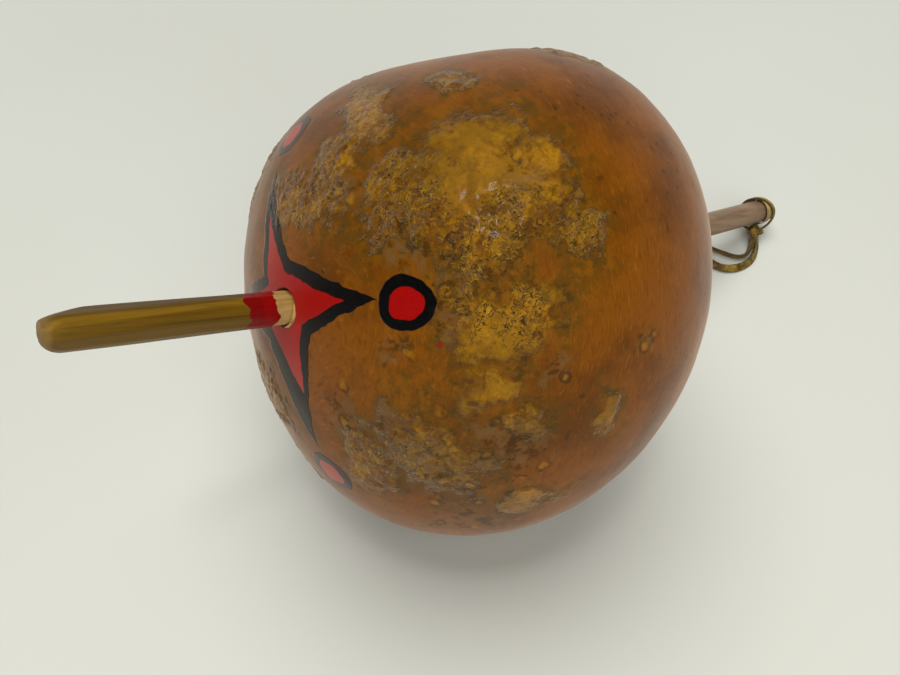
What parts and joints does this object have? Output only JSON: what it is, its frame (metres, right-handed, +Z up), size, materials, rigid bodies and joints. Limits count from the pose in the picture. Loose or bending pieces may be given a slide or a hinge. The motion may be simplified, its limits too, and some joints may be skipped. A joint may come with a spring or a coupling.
{
  "type": "gourd rattle",
  "caption": "Hollow calabash rattle on a through stick, with a round peg, a sloping handle, a lace tie with a hanging loop, and loose seeds inside.",
  "frame": {"origin": "centre of the small flat that the gourd rests on, on the table", "axes": "+Z up, +X towards the handle end, seen from above; the painted peg points towards -X and up"},
  "size_m": [0.2873, 0.15, 0.1462],
  "materials": {
    "varnished_gourd": "satin varnish",
    "whittled_wood": "oiled, whittled",
    "dried_glue": "clear amber, glossy",
    "pale_lace": "smooth, worn",
    "leather_lace": "worn, satin",
    "dry_seed": "dull, dry"
  },
  "bodies": {
    "rattle": {"gourd_shell": "varnished_gourd", "handle_stick": "whittled_wood", "peg_glue": "dried_glue", "handle_glue": "dried_glue", "lace_binding": "pale_lace"},
    "lace_tie": {"loose_turn": "leather_lace", "knot": "leather_lace"},
    "loop": {"hanging_loop": "leather_lace"},
    "seed_01": {"seed_01": "dry_seed"},
    "seed_02": {"seed_02": "dry_seed"},
    "seed_03": {"seed_03": "dry_seed"},
    "seed_04": {"seed_04": "dry_seed"},
    "seed_05": {"seed_05": "dry_seed"},
    "seed_06": {"seed_06": "dry_seed"},
    "seed_07": {"seed_07": "dry_seed"},
    "seed_08": {"seed_08": "dry_seed"},
    "seed_09": {"seed_09": "dry_seed"},
    "seed_10": {"seed_10": "dry_seed"},
    "seed_11": {"seed_11": "dry_seed"},
    "seed_12": {"seed_12": "dry_seed"},
    "seed_13": {"seed_13": "dry_seed"},
    "seed_14": {"seed_14": "dry_seed"},
    "seed_15": {"seed_15": "dry_seed"},
    "seed_16": {"seed_16": "dry_seed"},
    "seed_17": {"seed_17": "dry_seed"},
    "seed_18": {"seed_18": "dry_seed"},
    "seed_19": {"seed_19": "dry_seed"}
  },
  "joints": [
    {"name": "tie_swivel", "type": "hinge", "parent": "rattle", "child": "lace_tie", "pos_m": [0.17098, 0.00868, 0.00927], "axis": [0.9329, 0.0489, -0.3567], "range_deg": [-30, 30]},
    {"name": "loop_swing", "type": "hinge", "parent": "lace_tie", "child": "loop", "pos_m": [0.16656, 0.0029, 0.0045], "axis": [0, 0, 1], "range_deg": [-40, 45]},
    {"name": "seed_01_hop", "type": "slide", "parent": "rattle", "child": "seed_01", "axis": [0, 0, 1], "range_m": [0, 0.1285]},
    {"name": "seed_02_hop", "type": "slide", "parent": "rattle", "child": "seed_02", "axis": [0, 0, 1], "range_m": [0, 0.13]},
    {"name": "seed_03_hop", "type": "slide", "parent": "rattle", "child": "seed_03", "axis": [0, 0, 1], "range_m": [0, 0.1305]},
    {"name": "seed_04_hop", "type": "slide", "parent": "rattle", "child": "seed_04", "axis": [0, 0, 1], "range_m": [0, 0.0655]},
    {"name": "seed_05_hop", "type": "slide", "parent": "rattle", "child": "seed_05", "axis": [0, 0, 1], "range_m": [0, 0.063]},
    {"name": "seed_06_hop", "type": "slide", "parent": "rattle", "child": "seed_06", "axis": [0, 0, 1], "range_m": [0, 0.06]},
    {"name": "seed_07_hop", "type": "slide", "parent": "rattle", "child": "seed_07", "axis": [0, 0, 1], "range_m": [0, 0.057]},
    {"name": "seed_08_hop", "type": "slide", "parent": "rattle", "child": "seed_08", "axis": [0, 0, 1], "range_m": [0, 0.065]},
    {"name": "seed_09_hop", "type": "slide", "parent": "rattle", "child": "seed_09", "axis": [0, 0, 1], "range_m": [0, 0.0625]},
    {"name": "seed_10_hop", "type": "slide", "parent": "rattle", "child": "seed_10", "axis": [0, 0, 1], "range_m": [0, 0.0595]},
    {"name": "seed_11_hop", "type": "slide", "parent": "rattle", "child": "seed_11", "axis": [0, 0, 1], "range_m": [0, 0.0565]},
    {"name": "seed_12_hop", "type": "slide", "parent": "rattle", "child": "seed_12", "axis": [0, 0, 1], "range_m": [0, 0.0535]},
    {"name": "seed_13_hop", "type": "slide", "parent": "rattle", "child": "seed_13", "axis": [0, 0, 1], "range_m": [0, 0.0655]},
    {"name": "seed_14_hop", "type": "slide", "parent": "rattle", "child": "seed_14", "axis": [0, 0, 1], "range_m": [0, 0.063]},
    {"name": "seed_15_hop", "type": "slide", "parent": "rattle", "child": "seed_15", "axis": [0, 0, 1], "range_m": [0, 0.06]},
    {"name": "seed_16_hop", "type": "slide", "parent": "rattle", "child": "seed_16", "axis": [0, 0, 1], "range_m": [0, 0.0565]},
    {"name": "seed_17_hop", "type": "slide", "parent": "rattle", "child": "seed_17", "axis": [0, 0, 1], "range_m": [0, 0.1285]},
    {"name": "seed_18_hop", "type": "slide", "parent": "rattle", "child": "seed_18", "axis": [0, 0, 1], "range_m": [0, 0.13]},
    {"name": "seed_19_hop", "type": "slide", "parent": "rattle", "child": "seed_19", "axis": [0, 0, 1], "range_m": [0, 0.1305]}
  ]
}
